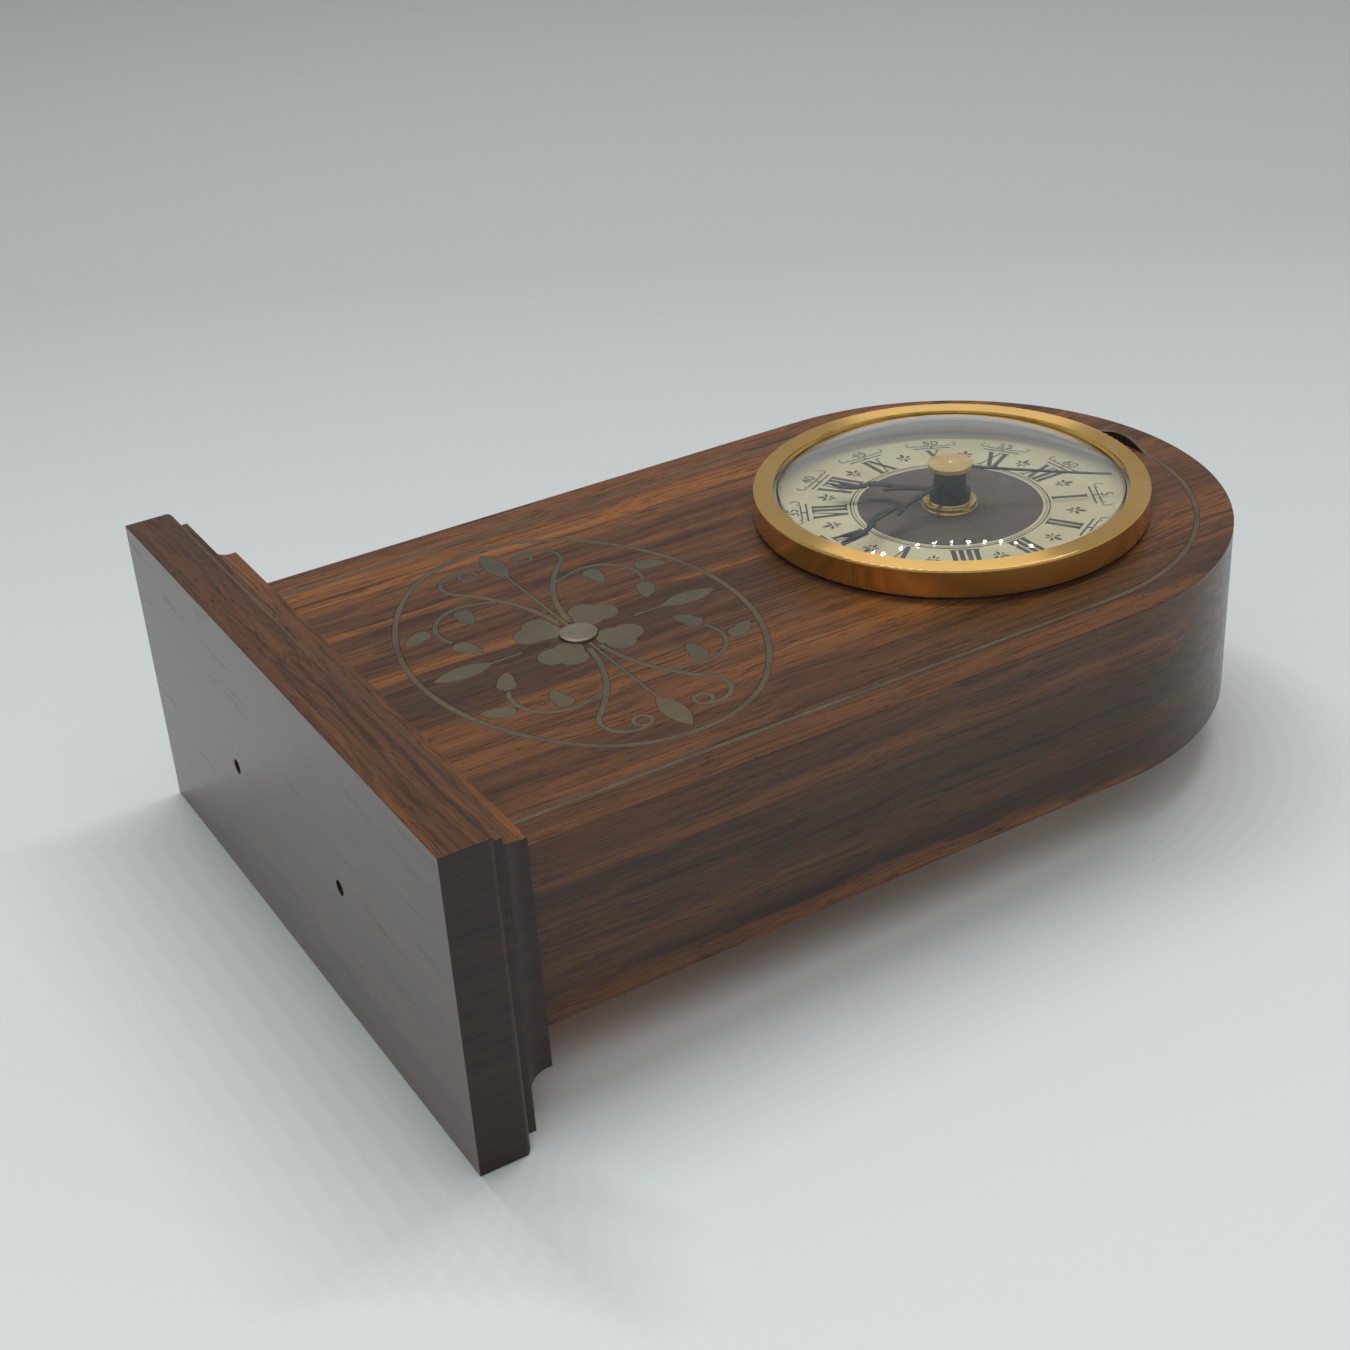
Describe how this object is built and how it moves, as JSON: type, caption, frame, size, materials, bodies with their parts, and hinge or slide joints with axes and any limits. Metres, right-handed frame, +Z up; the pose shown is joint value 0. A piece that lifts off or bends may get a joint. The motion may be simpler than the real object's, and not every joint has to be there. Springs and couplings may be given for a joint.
{
  "type": "table clock",
  "caption": "Small arch-topped wooden table clock with brass line inlay, lift-off brass bezel with domed lens, hands on concentric pipes, and a battery balance movement set by a rear knob.",
  "frame": {"origin": "centre of the plinth's underside", "axes": "+Z up, the dial faces -Y, +X to the right of someone who looks at the dial"},
  "size_m": [0.1246, 0.0552, 0.1819],
  "materials": {
    "rosewood": "satin lacquer",
    "aged_brass_inlay": "tarnished, rubbed flush",
    "polished_brass": "polished",
    "clear_lens": "clear",
    "zinc_sheet": "plated",
    "printed_dial": "satin print",
    "blackened_steel": "blackened",
    "train_brass": "satin",
    "steel": "bright",
    "magnet": "matt",
    "copper_wire": "enamelled",
    "white_plastic": "moulded",
    "black_plastic": "moulded",
    "board_green": "resin board",
    "cell_jacket": "printed tin jacket"
  },
  "bodies": {
    "case": {"case_body": "rosewood", "plinth": "rosewood", "border_line": "aged_brass_inlay", "medallion_ring": "aged_brass_inlay", "flower_petals": "aged_brass_inlay", "flower_head": "aged_brass_inlay", "pointed_leaves": "aged_brass_inlay", "scroll_stems": "aged_brass_inlay", "sprig_leaves": "aged_brass_inlay", "nut_washer": "polished_brass", "fixing_nut": "polished_brass", "threaded_neck": "polished_brass", "dial_pan": "zinc_sheet", "contact_plus": "zinc_sheet", "contact_minus": "zinc_sheet", "dial": "printed_dial", "train_plate": "train_brass", "balance_bridge": "train_brass", "plinth_nails": "steel", "cover_screws": "steel", "hairspring": "steel", "drive_coil": "copper_wire", "movement_housing": "white_plastic", "movement_cover": "white_plastic", "coil_carrier": "white_plastic", "circuit_board": "board_green"},
    "bezel_unit": {"bezel": "polished_brass", "lens": "clear_lens", "lens_ring": "polished_brass"},
    "minute": {"cannon_pinion": "train_brass", "minute_hand": "blackened_steel"},
    "hour": {"hour_wheel": "train_brass", "hour_hand": "blackened_steel"},
    "motion": {"motion_wheel": "train_brass"},
    "setting": {"setting_shaft": "steel", "setting_knob": "black_plastic"},
    "seconds": {"seconds_wheel": "train_brass", "seconds_hand": "blackened_steel", "seconds_cap": "polished_brass"},
    "third": {"third_wheel": "train_brass"},
    "centre": {"centre_wheel": "train_brass"},
    "index": {"index_wheel": "train_brass"},
    "balance": {"balance_wheel": "steel", "balance_magnets": "magnet", "balance_staff": "steel"},
    "regulator_lever": {"regulator": "train_brass"},
    "battery": {"battery_cell": "cell_jacket"}
  },
  "joints": [
    {"name": "bezel_lift", "type": "slide", "parent": "case", "child": "bezel_unit", "axis": [0, -1, 0], "range_m": [0, 0.025]},
    {"name": "minute_turn", "type": "hinge", "parent": "case", "child": "minute", "pos_m": [0, 0, 0.1319], "axis": [0, 1, 0], "continuous": true},
    {"name": "hour_turn", "type": "hinge", "parent": "case", "child": "hour", "pos_m": [0, 0, 0.1319], "axis": [0, 1, 0], "continuous": true},
    {"name": "motion_turn", "type": "hinge", "parent": "case", "child": "motion", "pos_m": [0.01015, 0, 0.13559], "axis": [0, 1, 0], "continuous": true},
    {"name": "setting_turn", "type": "hinge", "parent": "case", "child": "setting", "pos_m": [0.02095, 0, 0.13559], "axis": [0, 1, 0], "continuous": true},
    {"name": "seconds_turn", "type": "hinge", "parent": "case", "child": "seconds", "pos_m": [0, 0, 0.1319], "axis": [0, 1, 0], "continuous": true},
    {"name": "third_turn", "type": "hinge", "parent": "case", "child": "third", "pos_m": [-0.00827, 0, 0.13884], "axis": [0, 1, 0], "continuous": true},
    {"name": "centre_turn", "type": "hinge", "parent": "case", "child": "centre", "pos_m": [0, 0, 0.1319], "axis": [0, 1, 0], "continuous": true},
    {"name": "index_turn", "type": "hinge", "parent": "case", "child": "index", "pos_m": [-0.0028, 0, 0.12147], "axis": [0, 1, 0], "continuous": true},
    {"name": "balance_swing", "type": "hinge", "parent": "case", "child": "balance", "pos_m": [0.0062, 0, 0.12147], "axis": [0, 1, 0], "range_deg": [-135, 135]},
    {"name": "regulator_turn", "type": "hinge", "parent": "case", "child": "regulator_lever", "pos_m": [0.0062, 0, 0.12147], "axis": [0, 1, 0], "range_deg": [-20, 20]},
    {"name": "battery_slide", "type": "slide", "parent": "case", "child": "battery", "axis": [0, 1, 0], "range_m": [0, 0.03]}
  ],
  "couplings": [
    {"joint": "hour_turn", "follows": "minute_turn", "ratio": 0.083333},
    {"joint": "motion_turn", "follows": "minute_turn", "ratio": -0.33333},
    {"joint": "setting_turn", "follows": "minute_turn", "ratio": 1},
    {"joint": "third_turn", "follows": "seconds_turn", "ratio": -0.13333},
    {"joint": "centre_turn", "follows": "seconds_turn", "ratio": 0.016667},
    {"joint": "index_turn", "follows": "seconds_turn", "ratio": -7.5}
  ]
}
